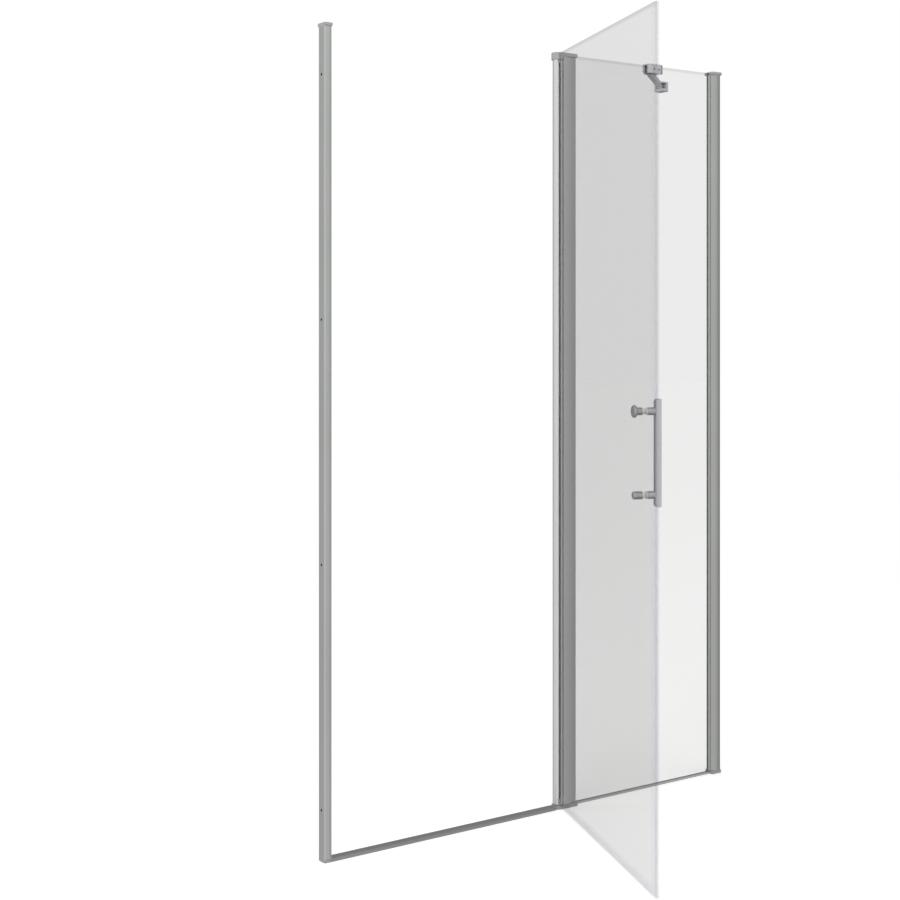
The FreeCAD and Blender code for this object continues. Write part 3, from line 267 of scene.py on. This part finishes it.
def toughened_glass(name, face_tint, painted_edge_tint, top):
    """Clear pane with a deeper tint painted in the band under its top edge, and faces that reflect at low
    angles.
    """
    edge_band = 0.008
    band_at_full_tint = 0.6
    roller_wave = 0.28
    wave_depth = 0.002
    wave_strength = 0.05
    polish = 0.02
    gloss_head_on = 0.02
    gloss_at_low_angle = 0.22
    gloss_rise = 5.0
    material = bpy.data.materials.new(name)
    material.use_nodes = True
    tree = material.node_tree
    tree.nodes.clear()
    place = add(tree, "ShaderNodeTexCoord")
    height = add(tree, "ShaderNodeSeparateXYZ", {0: place.outputs["Object"]})
    band = add(tree, "ShaderNodeMapRange",
               {0: height.outputs["Z"], 1: top - edge_band, 2: top - edge_band * band_at_full_tint})
    tint = add(tree, "ShaderNodeMix", {0: band.outputs[0], 6: linear(face_tint), 7: linear(painted_edge_tint)},
               data_type="RGBA")
    wave = add(tree, "ShaderNodeTexNoise", {"Vector": place.outputs["Object"], "Scale": 1 / roller_wave})
    bump = add(tree, "ShaderNodeBump",
               {"Strength": wave_strength, "Distance": wave_depth, "Height": wave.outputs[0]})
    facing = add(tree, "ShaderNodeLayerWeight", {"Blend": 0.5})
    steep = add(tree, "ShaderNodeMath", {0: facing.outputs["Facing"], 1: gloss_rise}, operation="POWER")
    gloss_share = add(tree, "ShaderNodeMapRange",
                      {0: steep.outputs[0], 3: gloss_head_on, 4: gloss_at_low_angle})
    through = add(tree, "ShaderNodeBsdfTransparent", {"Color": tint.outputs[2]})
    gloss = add(tree, "ShaderNodeBsdfAnisotropic", {"Roughness": polish, "Normal": bump.outputs[0]})
    pane = add(tree, "ShaderNodeMixShader",
               {0: gloss_share.outputs[0], 1: through.outputs[0], 2: gloss.outputs[0]})
    add(tree, "ShaderNodeOutputMaterial", {0: pane.outputs[0]})
    return material


for name, face_tint, painted_edge_tint in (("door_glass", "#F3F3F3", "#EAEAEA"),
                                   ("fixed_glass", "#F6F6F6", "#EEEEEE")):
    glass_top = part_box(name)[1][2]
    nodes[name].data.materials[0] = toughened_glass("toughened_" + name, face_tint, painted_edge_tint, glass_top)


# Seals on the door, the gasket in its column and the washers of its handle: plasticised PVC, extruded or
# moulded. It is glossy, with faint streaks and a trace of milk, so that it is hardly darker than the glass.
# Gasket and washers are milkier, and the magnet strip in the edge seal is powder bonded in the same PVC.
def clear_pvc(name, tint, milk, streak_length):
    """PVC whose milkiness, the share of light that it scatters, comes in streaks along the upright axis."""
    streak_width = 0.0015
    streak_depth = 0.0001
    streak_strength = 0.1
    milk_least = 0.6
    milk_most = 1.4
    milk_white = "#F2F3F2"
    skin = 0.15
    gloss_head_on = 0.01
    gloss_at_low_angle = 0.08
    gloss_rise = 5.0
    material = bpy.data.materials.new(name)
    material.use_nodes = True
    tree = material.node_tree
    tree.nodes.clear()
    place = add(tree, "ShaderNodeTexCoord")
    drawn = add(tree, "ShaderNodeMapping", {"Vector": place.outputs["Object"],
                                            "Scale": (1 / streak_width, 1 / streak_width, 1 / streak_length)})
    streaks = add(tree, "ShaderNodeTexNoise", {"Vector": drawn.outputs[0], "Scale": 1.0, "Detail": 2.0})
    milk_share = add(tree, "ShaderNodeMapRange",
                     {0: streaks.outputs[0], 3: milk * milk_least, 4: milk * milk_most})
    facing = add(tree, "ShaderNodeLayerWeight", {"Blend": 0.5})
    steep = add(tree, "ShaderNodeMath", {0: facing.outputs["Facing"], 1: gloss_rise}, operation="POWER")
    gloss_share = add(tree, "ShaderNodeMapRange",
                      {0: steep.outputs[0], 3: gloss_head_on, 4: gloss_at_low_angle})
    bump = add(tree, "ShaderNodeBump",
               {"Strength": streak_strength, "Distance": streak_depth, "Height": streaks.outputs[0]})
    through = add(tree, "ShaderNodeBsdfTransparent", {"Color": linear(tint)})
    cloudy = add(tree, "ShaderNodeBsdfDiffuse", {"Color": linear(milk_white)})
    gloss = add(tree, "ShaderNodeBsdfAnisotropic", {"Roughness": skin, "Normal": bump.outputs[0]})
    clear = add(tree, "ShaderNodeMixShader",
                {0: milk_share.outputs[0], 1: through.outputs[0], 2: cloudy.outputs[0]})
    whole = add(tree, "ShaderNodeMixShader",
                {0: gloss_share.outputs[0], 1: clear.outputs[0], 2: gloss.outputs[0]})
    add(tree, "ShaderNodeOutputMaterial", {0: whole.outputs[0]})
    return material


for finish, tint, milk, streak_length, names in (
        ("extruded_clear_pvc", "#FCFCFD", 0.01, 0.12, ("door_edge_seal", "door_bottom_seal")),
        ("extruded_milky_pvc", "#FAFAFA", 0.50, 0.12, ("hinge_glazing_gasket",)),
        ("bonded_magnet_strip", "#FBFBFB", 0.02, 0.06, ("door_edge_magnet",)),
        ("moulded_milky_pvc", "#F6F6F6", 0.68, 0.03, ("handle_washers",))):
    pvc = clear_pvc(finish, tint, milk, streak_length)
    for name in names:
        nodes[name].data.materials[0] = pvc


# Gaskets and the left post's magnet: thermoplastic rubber, extruded and pressed into the profiles. Its skin
# is matte, with a faint mottle and fine lines from the die. The magnet strip is ferrite in a pale binder.
def extruded_rubber(name, shade, shade_dark, roughness):
    """Matte rubber with a faint mottle and die lines along the upright axis."""
    mottle = 0.03
    # Real die lines are finer. They are drawn 0.8 mm wide so that they show from close by.
    die_line = 0.0008
    die_length = 0.2
    line_depth = 0.0001
    line_strength = 0.15
    smoother = 0.06
    rougher = 0.08
    rubber_ior = 1.5
    material = bpy.data.materials.new(name)
    material.use_nodes = True
    tree = material.node_tree
    surface = tree.nodes["Principled BSDF"]
    place = add(tree, "ShaderNodeTexCoord")
    drawn = add(tree, "ShaderNodeMapping", {"Vector": place.outputs["Object"],
                                            "Scale": (1 / die_line, 1 / die_line, 1 / die_length)})
    lines = add(tree, "ShaderNodeTexNoise", {"Vector": drawn.outputs[0], "Scale": 1.0, "Detail": 2.0})
    clouds = add(tree, "ShaderNodeTexNoise",
                 {"Vector": place.outputs["Object"], "Scale": 1 / mottle, "Detail": 3.0})
    colour = add(tree, "ShaderNodeMix", {0: clouds.outputs[0], 6: linear(shade), 7: linear(shade_dark)},
                 data_type="RGBA")
    rough = add(tree, "ShaderNodeMapRange",
                {0: lines.outputs[0], 3: roughness - smoother, 4: roughness + rougher})
    bump = add(tree, "ShaderNodeBump",
               {"Strength": line_strength, "Distance": line_depth, "Height": lines.outputs[0]})
    tree.links.new(colour.outputs[2], surface.inputs["Base Color"])
    tree.links.new(rough.outputs[0], surface.inputs["Roughness"])
    tree.links.new(bump.outputs[0], surface.inputs["Normal"])
    surface.inputs["IOR"].default_value = rubber_ior
    return material


# The right gasket's mid grey, darker than the other gaskets, is painted shade where it meets its profile.
for finish, shade, shade_dark, names in (
        ("pale", "#D0D2D0", "#C4C6C4", ("left_magnet_seal", "middle_glazing_gasket")),
        ("white", "#E6E7E6", "#DCDDDC", ("left_magnet_strip",)),
        ("grey", "#BABCBA", "#AEB0AE", ("panel_bottom_seal",)),
        ("mid_grey", "#AEB0AE", "#A2A4A2", ("right_glazing_gasket",)),
        ("dark", "#5A5B5C", "#4E4F50", ("stabiliser_clamp_pads",))):
    rubber = extruded_rubber("extruded_rubber_" + finish, shade, shade_dark, 0.55)
    for name in names:
        nodes[name].data.materials[0] = rubber


# Handle: square bar, standoffs, knob and cap nut of satin stainless steel, turned or cut from bar and brushed.
# The brush leaves fine lines of lighter and darker tone, and the knob and cap nut are given a darker steel.
def satin_steel(name, shade, shade_dark, along, roughness):
    """Stainless steel with brush lines along one axis: 0 for X, 1 for Y or 2 for Z."""
    # Real brush lines are finer. They are drawn 0.6 mm wide so that they show from close by.
    brush_line = 0.0006
    brush_length = 0.05
    line_depth = 0.0001
    line_strength = 0.1
    smoother = 0.05
    rougher = 0.06
    stretch = [1 / brush_line] * 3
    stretch[along] = 1 / brush_length
    material = bpy.data.materials.new(name)
    material.use_nodes = True
    tree = material.node_tree
    surface = tree.nodes["Principled BSDF"]
    place = add(tree, "ShaderNodeTexCoord")
    drawn = add(tree, "ShaderNodeMapping", {"Vector": place.outputs["Object"], "Scale": stretch})
    lines = add(tree, "ShaderNodeTexNoise", {"Vector": drawn.outputs[0], "Scale": 1.0, "Detail": 2.0})
    colour = add(tree, "ShaderNodeMix", {0: lines.outputs[0], 6: linear(shade), 7: linear(shade_dark)},
                 data_type="RGBA")
    rough = add(tree, "ShaderNodeMapRange",
                {0: lines.outputs[0], 3: roughness - smoother, 4: roughness + rougher})
    bump = add(tree, "ShaderNodeBump",
               {"Strength": line_strength, "Distance": line_depth, "Height": lines.outputs[0]})
    tree.links.new(colour.outputs[2], surface.inputs["Base Color"])
    tree.links.new(rough.outputs[0], surface.inputs["Roughness"])
    tree.links.new(bump.outputs[0], surface.inputs["Normal"])
    surface.inputs["Metallic"].default_value = 1.0
    return material


for finish, shade, shade_dark, names in (
        ("bar", "#CCCCCE", "#C0C0C2", ("handle_bar",)),
        ("standoffs", "#C7C7CA", "#BBBBBE", ("handle_standoffs",)),
        ("turned", "#B7B8B7", "#ABACAB", ("inner_knob", "inner_cap_nut"))):
    handle_steel = satin_steel("satin_stainless_steel_" + finish, shade, shade_dark, 2, 0.3)
    for name in names:
        nodes[name].data.materials[0] = handle_steel


# Screws, studs and pins: bright stainless steel, cold headed and then tumbled with grit. Tumbling rounds
# their edges and leaves a soft shine with short, fine scratches.
bright_steel = satin_steel("tumbled_stainless_steel", "#C4C4C5", "#B4B4B5", 1, 0.24)
for name in ("left_adjust_screws", "right_adjust_screws", "cap_screws", "bottom_block_screws", "handle_studs",
             "upper_pivot_pin", "lower_pivot_pin", "stabiliser_grub_screws", "stabiliser_pivot_screws"):
    nodes[name].data.materials[0] = bright_steel
